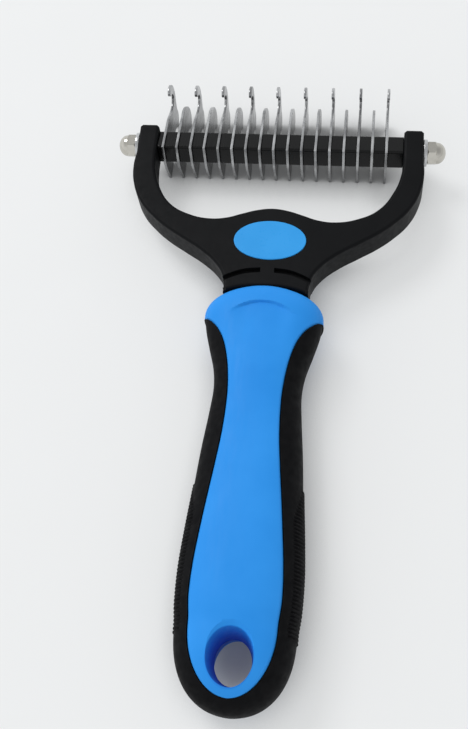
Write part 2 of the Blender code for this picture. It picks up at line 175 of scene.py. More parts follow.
# The studio's brightness near the horizon and overhead, the heights on its unit sphere between
# which it fades, and its right side's share.
WALL_LIGHT, CEILING_LIGHT = 0.90, 0.58
FADE_SPAN = (0.30, 0.97)
RIGHT_LIGHT = 0.82
# The table's painted glow: a faint fill that its surface emits, which fades into painted contact
# shadow where something stands closer than its reach.
FLOOR_FILL, FILL_REACH = 0.51, 15.0
FILL_LEAST, FILL_SPAN = 0.10, (0.25, 0.78)
TABLE_HALF = 3.0
TABLE_DROP = 0.05

# The key light and the camera, in metres.
KEY_AT, KEY_SIZE, KEY_POWER = (-1.00, 0.95, 1.75), 0.90, 19.0
EYE = Vector((0.02829, -0.12145, 0.28678))
AIM = Vector((-0.00744, 0.00024, 0.01280))
ROLL = math.radians(-12.1)
SENSOR, LENS = 36.0, 52.73

YOKE_RIGHT = (
    (4.5, -24.9), (9.0, -26.3), (13.5, -27.8), (18.7, -28.3), (25.0, -27.0), (31.0, -23.6),
    (35.3, -17.2), (37.2, -11.5), (37.8, -6.0, True), (37.8, 4.2, True), (38.5, 4.9, True),
    (43.0, 4.9, True), (43.7, 4.2, True), (43.7, -5.2, True), (44.1, -10.0), (43.2, -16.5),
    (40.2, -23.2), (36.0, -28.0), (31.5, -31.8), (26.0, -35.4), (20.0, -39.3), (15.6, -43.2),
    (13.1, -47.0), (12.3, -50.5), (12.3, -52.75, True), (9.0, -51.5), (4.5, -50.75),
)
YOKE_BRIDGE = (0.0, -24.3)
YOKE_NECK = (0.0, -50.6)
GROOVE_RIGHT = (
    (2.0, -44.6, True), (7.0, -45.3), (14.5, -48.6, True),
    (14.5, -50.4, True), (7.0, -47.0), (2.0, -46.2, True),
)
TANG_HALF = (4.6, 1.9)
TANG_SPAN = (-105.0, -48.0)

BLADE_BACK = (
    (-3.6, 4.75, True), (0.6, 4.05), (4.8, 3.2), (8.8, 2.3),
)
SHORT_NOSE = (
    (13.3, 1.2), (16.8, -1.6), (19.2, -5.2), (20.0, -8.4), (19.4, -11.0),
)
LONG_HOOK = (
    (12.2, 0.6), (15.2, -0.7), (17.3, -0.7), (18.7, 0.4), (18.6, 2.0), (17.6, 3.4),
    (16.3, 4.3), (15.4, 5.2), (15.3, 6.2), (16.2, 7.0), (17.9, 6.8), (19.7, 5.4), (20.8, 3.1),
    (21.1, 0.6), (20.8, -1.9), (20.1, -4.2), (19.8, -6.4), (20.2, -8.8), (19.4, -11.2),
)
BLADE_TEETH = (
    (17.6, -12.8, True), (15.0, -10.4), (11.8, -8.8), (8.2, -8.7), (5.0, -10.4),
    (2.4, -12.8, True), (-2.9, -12.8, True), (-3.7, -10.0), (-4.4, -6.6), (-4.8, -2.9),
    (-4.25, 1.0),
)
# Turns a flat outline's (x, y, z) into the pack's (along the shaft, towards the head, up).
STAND = Matrix(((0, 0, 1, 0), (1, 0, 0, 0), (0, 1, 0, 0), (0, 0, 0, 1)))


# ---------------------------------------------------------------- materials


class Shading:
    """One node material, with short calls for the nodes that every material here uses."""

    def __init__(self, name, roughness, metallic=0.0):
        self.material = bpy.data.materials.new(name)
        self.material.use_nodes = True
        self.nodes = self.material.node_tree.nodes
        self.links = self.material.node_tree.links
        self.shader = self.nodes["Principled BSDF"]
        self.shader.inputs["Roughness"].default_value = roughness
        self.shader.inputs["Metallic"].default_value = metallic
        self.place = self.nodes.new("ShaderNodeTexCoord").outputs["Object"]

    def put(self, socket, value):
        self.shader.inputs[socket].default_value = value

    def noise(self, scale, detail=2.0, stretch=None):
        """Noise in the piece's own metres; stretch multiplies the coordinates first."""
        source = self.place
        if stretch:
            mapping = self.nodes.new("ShaderNodeMapping")
            mapping.inputs["Scale"].default_value = stretch
            self.links.new(source, mapping.inputs["Vector"])
            source = mapping.outputs["Vector"]
        texture = self.nodes.new("ShaderNodeTexNoise")
        texture.inputs["Scale"].default_value = scale
        texture.inputs["Detail"].default_value = detail
        self.links.new(source, texture.inputs["Vector"])
        return texture.outputs["Fac"]

    def spread(self, value, low, high, start=0.3, end=0.7):
        """Maps a texture's start..end to low..high."""
        ranged = self.nodes.new("ShaderNodeMapRange")
        ranged.inputs["From Min"].default_value = start
        ranged.inputs["From Max"].default_value = end
        ranged.inputs["To Min"].default_value = low
        ranged.inputs["To Max"].default_value = high
        self.links.new(value, ranged.inputs["Value"])
        return ranged.outputs["Result"]

    def height(self):
        """The height in the piece's own metres."""
        parts = self.nodes.new("ShaderNodeSeparateXYZ")
        self.links.new(self.place, parts.inputs["Vector"])
        return parts.outputs["Z"]

    def product(self, first, second):
        times = self.nodes.new("ShaderNodeMath")
        times.operation = "MULTIPLY"
        self.links.new(first, times.inputs[0])
        self.links.new(second, times.inputs[1])
        return times.outputs["Value"]

    def blend(self, factor, first, second):
        mix = self.nodes.new("ShaderNodeMix")
        mix.data_type = "RGBA"
        mix.inputs["A"].default_value = (*first, 1.0)
        mix.inputs["B"].default_value = (*second, 1.0)
        self.links.new(factor, mix.inputs["Factor"])
        return mix.outputs["Result"]

    def over(self, factor, first, covering):
        """A plain colour where the factor is 0, and another node's colour where it is 1."""
        mix = self.nodes.new("ShaderNodeMix")
        mix.data_type = "RGBA"
        mix.inputs["A"].default_value = (*first, 1.0)
        self.links.new(covering, mix.inputs["B"])
        self.links.new(factor, mix.inputs["Factor"])
        return mix.outputs["Result"]

    def distance(self, centre, weights):
        """The distance from a point in the piece's own metres, each axis by its own weight."""
        offset = self.nodes.new("ShaderNodeVectorMath")
        offset.operation = "SUBTRACT"
        self.links.new(self.place, offset.inputs[0])
        offset.inputs[1].default_value = centre
        scaled = self.nodes.new("ShaderNodeVectorMath")
        scaled.operation = "MULTIPLY"
        self.links.new(offset.outputs["Vector"], scaled.inputs[0])
        scaled.inputs[1].default_value = weights
        length = self.nodes.new("ShaderNodeVectorMath")
        length.operation = "LENGTH"
        self.links.new(scaled.outputs["Vector"], length.inputs[0])
        return length.outputs["Value"]

    def colour(self, factor, first, second):
        self.links.new(self.blend(factor, first, second), self.shader.inputs["Base Color"])

    def roughness(self, value):
        self.links.new(value, self.shader.inputs["Roughness"])

    def bump(self, *layers):
        """Layers of (height, strength, depth in millimetres), each on top of the one before."""
        normal = None
        for height, strength, depth in layers:
            bump = self.nodes.new("ShaderNodeBump")
            bump.inputs["Strength"].default_value = strength
            bump.inputs["Distance"].default_value = depth * MM
            self.links.new(height, bump.inputs["Height"])
            if normal:
                self.links.new(normal, bump.inputs["Normal"])
            normal = bump.outputs["Normal"]
        self.links.new(normal, self.shader.inputs["Normal"])


def blue_plastic():
    look = Shading("blue_plastic", 0.42)
    cloud = look.spread(look.noise(55.0, 3.0), 0.0, 1.0)
    skin = look.blend(cloud, (0.020, 0.266, 0.775), (0.030, 0.306, 0.845))
    # Painted shade: the blue turns deeper down inside the hanging hole, near its axis.
    reach = look.distance((SHAFT.x, SHAFT.y + HOLE_AT * MM, 0.0), (1.0, 1 / HOLE_STRETCH, 0.0))
    outside = look.spread(reach, 0.0, 1.0, *(radius * MM for radius in HOLE_SHADE_SPAN))
    look.links.new(look.over(outside, HOLE_SHADE_BLUE, skin), look.shader.inputs["Base Color"])
    scuff = look.noise(900.0, 4.0, (1.0, 0.12, 1.0))
    look.roughness(look.spread(scuff, 0.48, 0.62))
    look.bump((look.noise(5200.0, 2.0), 0.10, 0.03), (look.noise(260.0, 2.0), 0.05, 0.05))
    look.put("Specular IOR Level", 0.15)
    return look.material


def oval_plastic():
    look = Shading("oval_plastic", 0.3)
    cloud = look.spread(look.noise(120.0, 2.0), 0.0, 1.0)
    look.colour(cloud, (0.026, 0.315, 0.76), (0.034, 0.340, 0.80))
    look.roughness(look.spread(look.noise(1500.0, 3.0), 0.26, 0.36))
    look.put("Specular IOR Level", 0.22)
    look.bump((look.noise(3800.0, 2.0), 0.05, 0.02),)
    return look.material


def yoke_plastic():
    look = Shading("yoke_plastic", 0.5)
    cloud = look.spread(look.noise(70.0, 3.0), 0.0, 1.0)
    look.colour(cloud, (0.0040, 0.0043, 0.0050), (0.0060, 0.0063, 0.0070))
    look.put("Specular IOR Level", 0.08)
    look.roughness(look.spread(look.noise(700.0, 4.0), 0.44, 0.58))
    look.bump((look.noise(4200.0, 2.0), 0.22, 0.03), (look.noise(300.0, 2.0), 0.04, 0.05))
    return look.material


def grip_rubber():
    look = Shading("grip_rubber", 0.72)
    dust = look.spread(look.noise(420.0, 5.0), 0.0, 1.0, 0.45, 0.8)
    look.colour(dust, (0.0028, 0.0029, 0.0036), (0.0052, 0.0052, 0.0060))
    look.roughness(look.spread(look.noise(520.0, 3.0), 0.62, 0.80))
    look.bump((look.noise(3000.0, 3.0), 0.35, 0.04),)
    look.put("Specular IOR Level", 0.09)
    return look.material


def spacer_plastic():
    look = Shading("spacer_plastic", 0.2)
    cloud = look.spread(look.noise(300.0, 2.0), 0.0, 1.0)
    look.colour(cloud, (0.0012, 0.0013, 0.0014), (0.0020, 0.0021, 0.0022))
    look.put("Specular IOR Level", 0.24)
    lathe = look.noise(600.0, 2.0, (6.0, 0.4, 0.4))
    look.roughness(look.spread(lathe, 0.16, 0.30))
    look.bump((lathe, 0.05, 0.02),)
    return look.material


def blade_steel():
    look = Shading("blade_steel", 0.3, 1.0)
    ground = look.noise(420.0, 3.0, (3.0, 0.35, 6.0))
    stain = look.spread(look.noise(150.0, 3.0), 0.0, 1.0, 0.36, 0.64)
    # Painted shade: darker steel towards each blade's bottom, multiplied by real dark stains from
    # the noise above.
    height_shade = look.spread(look.height(), 0.0, 1.0, *(height * MM for height in BLADE_SHADE_SPAN))
    look.colour(look.product(stain, height_shade), (0.23, 0.232, 0.236), (0.50, 0.505, 0.51))
    look.roughness(look.spread(ground, 0.20, 0.36))
    look.bump((ground, 0.08, 0.02),)
    return look.material


def turned_steel(name, colour, smooth, rough):
    """Steel turned about the shaft: fine rings along X."""
    look = Shading(name, rough, 1.0)
    rings = look.noise(900.0, 2.0, (8.0, 0.3, 0.3))
    cloud = look.spread(look.noise(400.0, 2.0), 0.0, 1.0)
    look.colour(cloud, tuple(0.9 * part for part in colour), colour)
    look.roughness(look.spread(rings, smooth, rough))
    look.bump((rings, 0.05, 0.01),)
    return look.material


# ---------------------------------------------------------------- mesh helpers


def add_piece(name, mesh, material, body, slot, *nodes):
    """A finished piece: its mesh is in the frame's metres and it rides on a CAD body."""
    mesh.materials.clear()
    mesh.materials.append(material)
    piece = bpy.data.objects.new(name, mesh)
    bpy.context.scene.collection.objects.link(piece)
    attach(piece, body)
    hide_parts(*nodes)
    return piece


def shade(mesh, angle):
    mesh.shade_smooth()
    mesh.set_sharp_from_angle(angle=math.radians(angle))


def clean(mesh, placing=None, weld=0.001):
    """Welds loose caps, faces the mesh outwards and moves it to the frame's metres."""
    work = bmesh.new()
    work.from_mesh(mesh)
    bmesh.ops.remove_doubles(work, verts=work.verts, dist=weld * MM)
    bmesh.ops.dissolve_degenerate(work, edges=work.edges, dist=weld * MM / 10)
    bmesh.ops.recalc_face_normals(work, faces=work.faces)
    if placing:
        bmesh.ops.transform(work, matrix=placing, verts=work.verts)
    work.to_mesh(mesh)
    work.free()
    return mesh


AT_SHAFT = Matrix.Translation(SHAFT)


def add_spline(curve, points, resolution):
    curve.resolution_u = resolution
    spline = curve.splines.new("BEZIER")
    spline.bezier_points.add(len(points) - 1)
    spline.use_cyclic_u = True
    for knot, point in zip(spline.bezier_points, points):
        kind = "VECTOR" if len(point) > 2 else "AUTO"
        knot.co = (point[0] * MM, point[1] * MM, 0.0)
        knot.handle_left_type = kind
        knot.handle_right_type = kind


def plate(name, loops, low, high, edge=0.0, resolution=10, edge_steps=3):
    """A flat outline extruded from low to high, with rounded edges, still at the origin."""
    curve = bpy.data.curves.new(name, "CURVE")
    curve.dimensions = "2D"
    curve.fill_mode = "BOTH"
    curve.extrude = ((high - low) / 2 - edge) * MM
    curve.bevel_depth = edge * MM
    curve.bevel_resolution = edge_steps
    curve.offset = -edge * MM
    for points in loops:
        add_spline(curve, points, resolution)
    holder = bpy.data.objects.new(name + "_outline", curve)
    bpy.context.scene.collection.objects.link(holder)
    depsgraph = bpy.context.evaluated_depsgraph_get()
    mesh = bpy.data.meshes.new_from_object(holder.evaluated_get(depsgraph))
    mesh.name = name
    bpy.data.objects.remove(holder, do_unlink=True)
    bpy.data.curves.remove(curve)
    return clean(mesh, Matrix.Translation((0.0, 0.0, (high + low) / 2 * MM)))


def mirrored_loop(right, first, last):
    left = [(-point[0], *point[1:]) for point in reversed(right)]
    return [first, *right, last, *left]


def circle(radius, points=24):
    turn = 2 * math.pi / points
    return [(radius * math.cos(turn * i), radius * math.sin(turn * i)) for i in range(points)]


def turned(name, profile, sides=64):
    """A profile of (radius, height) in millimetres, turned about local Z."""
    work = bmesh.new()
    points = [work.verts.new((radius * MM, 0.0, height * MM)) for radius, height in profile]
    pairs = list(zip(points, points[1:]))
    if profile[0][0] > 0.0:
        pairs.append((points[-1], points[0]))
    edges = [work.edges.new(pair) for pair in pairs]
    bmesh.ops.spin(
        work, geom=points + edges, axis=(0.0, 0.0, 1.0), cent=(0.0, 0.0, 0.0),
        angle=2 * math.pi, steps=sides, use_merge=True,
    )
    mesh = bpy.data.meshes.new(name)
    work.to_mesh(mesh)
    work.free()
    return clean(mesh)


def along_x(at, facing=1.0):
    """Puts a turned piece on the shaft, its local +Z facing world +X, or -X."""
    return AT_SHAFT @ Matrix.Translation((at * MM, 0, 0)) @ Matrix.Rotation(
        facing * math.pi / 2, 4, "Y"
    )


def arc(centre, radius, start, end, steps):
    """Points on an arc in the profile's plane, in degrees."""
    out = []
    for i in range(steps + 1):
        angle = math.radians(start + (end - start) * i / steps)
        out.append((centre[0] + radius * math.cos(angle), centre[1] + radius * math.sin(angle)))
    return out


def boolean(mesh, cutter, operation="DIFFERENCE"):
    """The mesh after one exact Boolean. The cutter's mesh is used up."""
    keep = bpy.data.objects.new("boolean_piece", mesh)
    tool = bpy.data.objects.new("boolean_tool", cutter)
    for thing in (keep, tool):
        bpy.context.scene.collection.objects.link(thing)
    modifier = keep.modifiers.new("cut", "BOOLEAN")
    modifier.operation = operation
    modifier.solver = "EXACT"
    modifier.object = tool
    depsgraph = bpy.context.evaluated_depsgraph_get()
    result = bpy.data.meshes.new_from_object(keep.evaluated_get(depsgraph))
    result.name = mesh.name
    for thing in (keep, tool):
        bpy.data.objects.remove(thing, do_unlink=True)
    bpy.data.meshes.remove(cutter)
    return result


def box(name, low, high):
    work = bmesh.new()
    low, high = Vector(low) * MM, Vector(high) * MM
    size = Matrix.Diagonal((*(high - low), 1.0))
    bmesh.ops.create_cube(work, size=1.0, matrix=Matrix.Translation((low + high) / 2) @ size)
    mesh = bpy.data.meshes.new(name)
    work.to_mesh(mesh)
    work.free()
    return mesh


def even_normals(piece):
    """Keeps flat faces flat beside rounded edges."""
    modifier = piece.modifiers.new("even_normals", "WEIGHTED_NORMAL")
    modifier.keep_sharp = True
    modifier.weight = 80


# ---------------------------------------------------------------- the handle's form


def smooth_step(value):
    value = min(1.0, max(0.0, value))
    return value * value * (3.0 - 2.0 * value)


def smooth_row(rows, y, column):
    """A smooth curve through the rows' values in one column, flat at both ends."""
    if y >= rows[0][0]:
        return rows[0][column]
    for i in range(len(rows) - 1):
        here, there = rows[i], rows[i + 1]
        if y >= there[0]:
            break
    else:
        return rows[-1][column]

    def slope(k):
        if k == 0 or k == len(rows) - 1:
            return 0.0
        before, after = rows[k - 1], rows[k + 1]
        return (after[column] - before[column]) / (after[0] - before[0])

    span = there[0] - here[0]
    t = (y - here[0]) / span
    first = here[column] * (1 + 2 * t) * (1 - t) ** 2 + slope(i) * span * t * (1 - t) ** 2
    second = there[column] * t * t * (3 - 2 * t) + slope(i + 1) * span * t * t * (t - 1)
    return first + second


def section(y):
    """The handle's half width and half depth at y."""
    if y > TOP_CENTRE:
        left = max(0.0, 1 - ((y - TOP_CENTRE) / TOP_RISE) ** TOP_POWER)
        depth = TOP_DEPTH * (1 - TOP_SLIMMING * (1 - math.sqrt(left)))
        return TOP_WIDTH * left ** (1 / TOP_POWER), depth
    if y < END_CENTRE:
        left = max(0.0, 1 - ((END_CENTRE - y) / END_DROP) ** END_POWER)
        cosine = math.sqrt(left)
        depth = END_DEPTH * (1 - END_SLIMMING * (1 - cosine))
        return END_WIDTH * left ** (1 / END_POWER), depth
    return smooth_row(STATIONS, y, 1), smooth_row(STATIONS, y, 2)


def face_half(y):
    """The blue face's half width at y."""
    if y >= FACE_TOP:
        return 99.0
    if y < END_CENTRE:
        fall = 1 - ((END_CENTRE - y) / FACE_DROP) ** 2
        return FACE_EDGE[-1][1] * math.sqrt(fall) if fall > 0 else 0.0
    return smooth_row(FACE_EDGE, y, 1)


def point_on(y, angle):
    """(x, z) of the handle's surface at y, by the angle from the side towards the front."""
    half_width, half_depth = section(y)
    power = 2.0 / SECTION_POWER
    cosine, sine = math.cos(angle), math.sin(angle)
    x = half_width * math.copysign(abs(cosine) ** power, cosine)
    return x, half_depth * math.copysign(abs(sine) ** power, sine)


def edge_angle(y):
    """The angle at which the blue face meets the black grip."""
    share = min(1.0, face_half(y) / max(section(y)[0], 0.001))
    return math.acos(share ** (SECTION_POWER / 2))


def height_at(y, x):
    half_width, half_depth = section(y)
    share = min(1.0, abs(x) / half_width)
    return half_depth * (1 - share**SECTION_POWER) ** (1 / SECTION_POWER)


def thumb_dip(x, y):
    """How far the thumb rest is sunk into the blue face at (x, y)."""
    arch = THUMB_ARC_AT - THUMB_ARC_BEND * (x / THUMB_ARC_HALF) ** 2
    inside = smooth_step((arch - y) / THUMB_STEP)
    fade = 1 - smooth_step((arch - y) / THUMB_FADE)
    outwards = (abs(x) - THUMB_SIDE * THUMB_ARC_HALF) / (THUMB_SIDE_WIDTH * THUMB_ARC_HALF)
    return THUMB_DEPTH * inside * fade * (1 - smooth_step(outwards))


def face_rows():
    """The y of each row of the blue face, closer together at the ends and the thumb rest."""
    rows = []
    for i in range(1, TOP_ROWS_KEPT + 1):
        rows.append(TOP_CENTRE + TOP_RISE * math.cos(math.pi / 2 * i / TOP_ROWS))
    y = rows[-1]
    while y > END_CENTRE:
        y -= FINE_ROW if y > FINE_ROWS_END else FACE_ROW
        rows.append(max(y, END_CENTRE))
    for i in range(1, END_ROWS + 1):
        rows.append(END_CENTRE - FACE_DROP * math.sin(math.pi / 2 * i / END_ROWS) * NEARLY)
    return rows


def ring_loft(name, rings):
    """A closed surface through rings of equal length."""
    work = bmesh.new()
    loops = [[work.verts.new(Vector(point) * MM) for point in ring] for ring in rings]
    count = len(rings[0])
    for near, far in zip(loops, loops[1:]):
        for i in range(count):
            j = (i + 1) % count
            work.faces.new((near[i], near[j], far[j], far[i]))
    work.faces.new(loops[0])
    work.faces.new(list(reversed(loops[-1])))
    mesh = bpy.data.meshes.new(name)
    work.to_mesh(mesh)
    work.free()
    return clean(mesh)


def shell_ring(y, columns=72):
    """One section of the front shell: its face, rounded lips, walls and flat back."""
    start = edge_angle(y)
    edge = min(face_half(y), section(y)[0])
    rim = height_at(y, edge) if start > 0 else 0.0
    lip = LIP * min(1.0, rim / 2.0, edge / 1.5)
    half = []
    if start > 0 and lip > 0.01:
        half.append((edge - SEAM, SHELL_FLOOR))
        for away, down in LIP_CURVE:
            half.append((edge - SEAM - away * lip, max(SHELL_FLOOR, rim - down * lip)))
    else:
        half.extend([(edge - SEAM, SHELL_FLOOR)] * (1 + len(LIP_CURVE)))
    inner = max(0.0, edge - SEAM - lip)
    share = min(1.0, inner / section(y)[0])
    first = math.acos(share ** (SECTION_POWER / 2))
    for i in range(columns // 2):
        angle = first + (math.pi / 2 - first) * i / (columns // 2)
        x, z = point_on(y, angle)
        half.append((x, max(SHELL_FLOOR, z - thumb_dip(x, y))))
    x, z = point_on(y, math.pi / 2)
    right = [(x, y, z) for x, z in half]
    left = [(-x, y, z) for x, z in reversed(half)]
    return [*right, (0.0, y, max(SHELL_FLOOR, z - thumb_dip(0.0, y))), *left]


def hole_cutter():
    """The hanging hole: narrow at the mid-plane, wider towards both faces, with soft rims."""
    face = height_at(HOLE_AT, 0.0)
    rim = HOLE_RADIUS + HOLE_FLARE * face
    clear, above = rim + HOLE_SOFT + HOLE_CLEAR, face + 1.0
    rounding = arc((0.0, face - HOLE_SOFT), HOLE_SOFT, 80, 0, 6)
    wider, throat = HOLE_THROAT
    upper = [
        (0.0, HOLE_REACH), (clear, HOLE_REACH), (clear, above),
        *((rim + HOLE_SOFT - radius, height) for radius, height in rounding),
        (HOLE_RADIUS + wider, throat), (HOLE_RADIUS, HOLE_WAIST),
    ]
    lower = [(radius, -height) for radius, height in reversed(upper)]
    mesh = turned("hanging_hole", [*upper, *lower], 96)
    stretch = Matrix.Scale(HOLE_STRETCH, 4, (0, 1, 0))
    mesh.transform(Matrix.Translation((0.0, HOLE_AT * MM, 0.0)) @ stretch)
    return mesh


def hollow_cutter():
    """The space inside one shell, an even wall in from its outside."""
    rings = []
    across, down = HOLLOW_CHAMFER
    y = HOLLOW_SPAN[0]
    while y > HOLLOW_SPAN[1]:
        half_width, half_depth = section(y)
        half = min(half_width, face_half(y)) - WALL
        top = half_depth - WALL - FACE_WALL_EXTRA
        right = [(half, y, -1.0), (half, y, top - down), (half - across, y, top)]
        rings.append([*right, *((-x, along, z) for x, along, z in reversed(right))])
        y -= HOLLOW_STEP
    return ring_loft("hollow", rings)


def build_shells(material):
    front = ring_loft("handle_face_front", [shell_ring(y) for y in face_rows()])
    front = boolean(front, hollow_cutter())
    across, up = (half + SLOT_GAP for half in TANG_HALF)
    slot_low = (-across, TANG_SPAN[0] - SLOT_GAP, -up)
    front = boolean(front, box("tongue_slot", slot_low, (across, TANG_SPAN[1], up)))
    front = boolean(front, hole_cutter())
    clean(front)
    back = front.copy()
    back.name = "handle_face_back"
    back.transform(Matrix.Scale(-1.0, 4, (0, 0, 1)))
    back.flip_normals()
    for side, mesh in (("front", front), ("back", back)):
        shade(mesh, 32)
        mesh.transform(AT_SHAFT)
        piece = add_piece(
            "handle_face_" + side, mesh, material, "body", "handle_plastic",
            "handle_shell_" + side,
        )
        even_normals(piece)


def rib_height(y, angle, limit):
    """How far the grip's side stands in from the handle's outer form."""
    along = smooth_step((RIB_START - y) / RIB_FADE_IN) * smooth_step((y - RIB_END) / RIB_FADE_OUT)
    reach = PAD_REACH * limit * smooth_step((RIB_START - y) / PAD_GROWTH + PAD_FIRST)
    across = 1 - smooth_step((abs(angle) - reach) / PAD_BORDER)
    pad = along * across
    wave = 0.5 - 0.5 * math.cos(2 * math.pi * (y - RIB_START) / RIB_PITCH)
    side = max(0.0, math.cos(angle)) ** 2
    return PAD_PROUD * (1 - pad) * side + RIB_DEPTH * pad * wave**RIB_SHARPNESS


def grip_ring(y, columns=56):
    """One section of the grip's right half, from its back lip round the side to its front lip."""
    limit = edge_angle(y)
    edge = min(face_half(y), section(y)[0])
    rim = height_at(y, edge)
    strip = section(y)[0] - edge
    lip = LIP * min(1.0, rim / 2.0, strip / 1.5)
    seam = SEAM if edge > 0 else 0.0
    lip = lip if edge > 0 else 0.0
    inner = edge + seam
    share = min(1.0, (inner + lip) / section(y)[0])
    last = math.acos(share ** (SECTION_POWER / 2))
    front = [(inner + away * lip, rim - down * lip) for away, down in reversed(LIP_CURVE)]
    ring = [(x, y, -z) for x, z in reversed(front)]
    for i in range(columns + 1):
        angle = last * (2.0 * i / columns - 1.0)
        x, z = point_on(y, angle)
        sunk = rib_height(y, angle, limit)
        ring.append((max(inner, x - sunk * math.cos(angle)), y, z - sunk * math.sin(angle)))
    ring.extend((x, y, z) for x, z in front)
    return ring


def grip_rows():
    """The y of each row of the grip: close together at its top, its ribs and its end."""
    rows = [FACE_TOP - GRIP_TOP_GROWTH * i * i for i in range(1, GRIP_TOP_ROWS + 1)]
    y = rows[-1]
    while y > RIB_START + 0.5:
        y -= GRIP_ROW
        rows.append(y)
    while y > RIB_END - 1.0:
        y -= RIB_PITCH / ROWS_PER_RIB
        rows.append(y)
    turn = math.asin((END_CENTRE - y) / FACE_DROP)
    for i in range(1, FACE_END_ROWS + 1):
        angle = turn + (math.pi / 2 - turn) * i / FACE_END_ROWS
        rows.append(END_CENTRE - FACE_DROP * math.sin(angle))
    rows[-1] = FACE_END
    turn = math.asin((END_CENTRE - FACE_END) / END_DROP)
    for i in range(1, TIP_ROWS + 1):
        angle = turn + (math.pi / 2 - turn) * i / (TIP_ROWS + 0.5)
        rows.append(END_CENTRE - END_DROP * math.sin(angle))
    return rows


def build_grip(material):
    """The black grip: a half loft, mirrored and welded where it closes round the end."""
    mesh = ring_loft("rubber_grip_skin", [grip_ring(y) for y in grip_rows()])
    work = bmesh.new()
    work.from_mesh(mesh)
    touching = 0.001 * MM
    inner = [
        face for face in work.faces if all(abs(corner.co.x) < touching for corner in face.verts)
    ]
    bmesh.ops.delete(work, geom=inner, context="FACES")
    half = work.faces[:] + work.edges[:] + work.verts[:]
    copy = bmesh.ops.duplicate(work, geom=half)["geom"]
    corners = [part for part in copy if isinstance(part, bmesh.types.BMVert)]
    for corner in corners:
        corner.co.x = -corner.co.x
    bmesh.ops.remove_doubles(work, verts=work.verts, dist=touching)
    bmesh.ops.recalc_face_normals(work, faces=work.faces)
    work.to_mesh(mesh)
    work.free()
    shade(mesh, 50)
    mesh.transform(AT_SHAFT)
    add_piece("rubber_grip_skin", mesh, material, "body", "grip_rubber", "rubber_grip")


# ---------------------------------------------------------------- the yoke


def oval(grow):
    points = 24
    turn = 2 * math.pi / points
    across, along = OVAL_HALF[0] + grow, OVAL_HALF[1] + grow
    return [
        (across * math.cos(turn * i), OVAL_AT + along * math.sin(turn * i)) for i in range(points)
    ]


def build_yoke(material):
    outline = mirrored_loop(YOKE_RIGHT, YOKE_BRIDGE, YOKE_NECK)
    mesh = plate("yoke_body", [outline], -YOKE_HALF, YOKE_HALF, YOKE_ROUND, 12, 4)
    tongue = box(
        "tongue", (-TANG_HALF[0], TANG_SPAN[0], -TANG_HALF[1]),
        (TANG_HALF[0], TANG_SPAN[1], TANG_HALF[1]),
    )
    mesh = boolean(mesh, tongue, "UNION")
    upper = [(0.0, BORE_REACH), (BORE, BORE_REACH)]
    rod = turned("arm_bore", [*upper, *((x, -y) for x, y in reversed(upper))], 40)
    rod.transform(Matrix.Rotation(math.pi / 2, 4, "Y"))
    mesh = boolean(mesh, rod)
    left = [(-point[0], *point[1:]) for point in GROOVE_RIGHT]
    far = YOKE_HALF * 2
    for facing in (1, -1):
        pocket_span = sorted((facing * (YOKE_HALF - POCKET_DEPTH), facing * far))
        groove_span = sorted((facing * (YOKE_HALF - GROOVE_DEPTH), facing * far))
        mesh = boolean(mesh, plate("pocket", [oval(POCKET_GAP)], *pocket_span, resolution=6))
        mesh = boolean(mesh, plate("groove", [GROOVE_RIGHT, left], *groove_span, resolution=8))
    clean(mesh)
    shade(mesh, 35)
    mesh.transform(AT_SHAFT)
    piece = add_piece("yoke_body", mesh, material, "body", "yoke_plastic", "yoke_frame")
    even_normals(piece)


def build_ovals(material):
    top = YOKE_HALF + OVAL_PROUD
    for side, facing in (("front", 1), ("back", -1)):
        low, high = sorted((facing * (top - OVAL_THICKNESS), facing * top))
        name = "oval_badge_" + side
        mesh = plate(name, [oval(0.0)], low, high, OVAL_ROUND, 6, 3)
        shade(mesh, 40)
        mesh.transform(AT_SHAFT)
        piece = add_piece(
            name, mesh, material, "body", "oval_plastic", "oval_inlay_" + side
        )
        even_normals(piece)


# ---------------------------------------------------------------- the blade pack


def blade_mesh(name, tip):
    outline = [*BLADE_BACK, *tip, *BLADE_TEETH]
    half = PLATE / 2
    mesh = plate(name, [outline, circle(PACK_BORE, 12)], -half, half, PLATE_EDGE, 8, 2)
    mesh.transform(STAND)
    shade(mesh, 40)
    return mesh


def build_blades(material):
    nodes = sorted(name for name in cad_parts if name.startswith("blade_"))
    shapes = {
        "long": blade_mesh("long_plate", LONG_HOOK),
        "short": blade_mesh("short_plate", SHORT_NOSE),
    }
    for node in nodes:
        kind = node.split("_")[1]
        if kind not in shapes:
            continue
        mesh = shapes[kind].copy()
        at = Vector((middle(node).x, SHAFT.y, SHAFT.z))
        mesh.transform(Matrix.Translation(at))
        piece = add_piece(
            node.replace("blade", "plate"), mesh, material, "blade_set", "blade_steel", node
        )
        even_normals(piece)


def ring_profile(inner, outer, half, edge):
    """A turned ring's section with rounded outer corners, down its outer side."""
    upper = arc((outer - edge, half - edge), edge, 90, 0, 4)
    lower = arc((outer - edge, edge - half), edge, 0, -90, 4)
    return [*upper, *lower, (inner, -half), (inner, half)]


def spacer_mesh(name, length):
    """A square spacer with rounded edges and a round bore, leaning like the blades' backs."""
    corner = arc((SPACER_HALF - SPACER_CORNER,) * 2, SPACER_CORNER, 0, 90, 6)
    outline = []
    for quarter in range(4):
        turn = Matrix.Rotation(quarter * math.pi / 2 + PACK_LEAN, 2)
        outline.extend((*(turn @ Vector(point)), True) for point in corner)
    loops = [outline, circle(PACK_BORE, 12)]
    mesh = plate(name, loops, -length / 2, length / 2, SPACER_EDGE, 6, 3)
    mesh.transform(STAND)
    shade(mesh, 40)
    return mesh


def build_spacers(material):
    for node in sorted(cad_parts):
        if "spacer" not in node:
            continue
        low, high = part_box(node)
        mesh = spacer_mesh(node + "_block", (high.x - low.x) / MM + 2 * SPACER_CLOSE)
        mesh.transform(Matrix.Translation((middle(node).x, SHAFT.y, SHAFT.z)))
        piece = add_piece(
            node + "_block", mesh, material, "blade_set", "spacer_plastic", node
        )
        even_normals(piece)


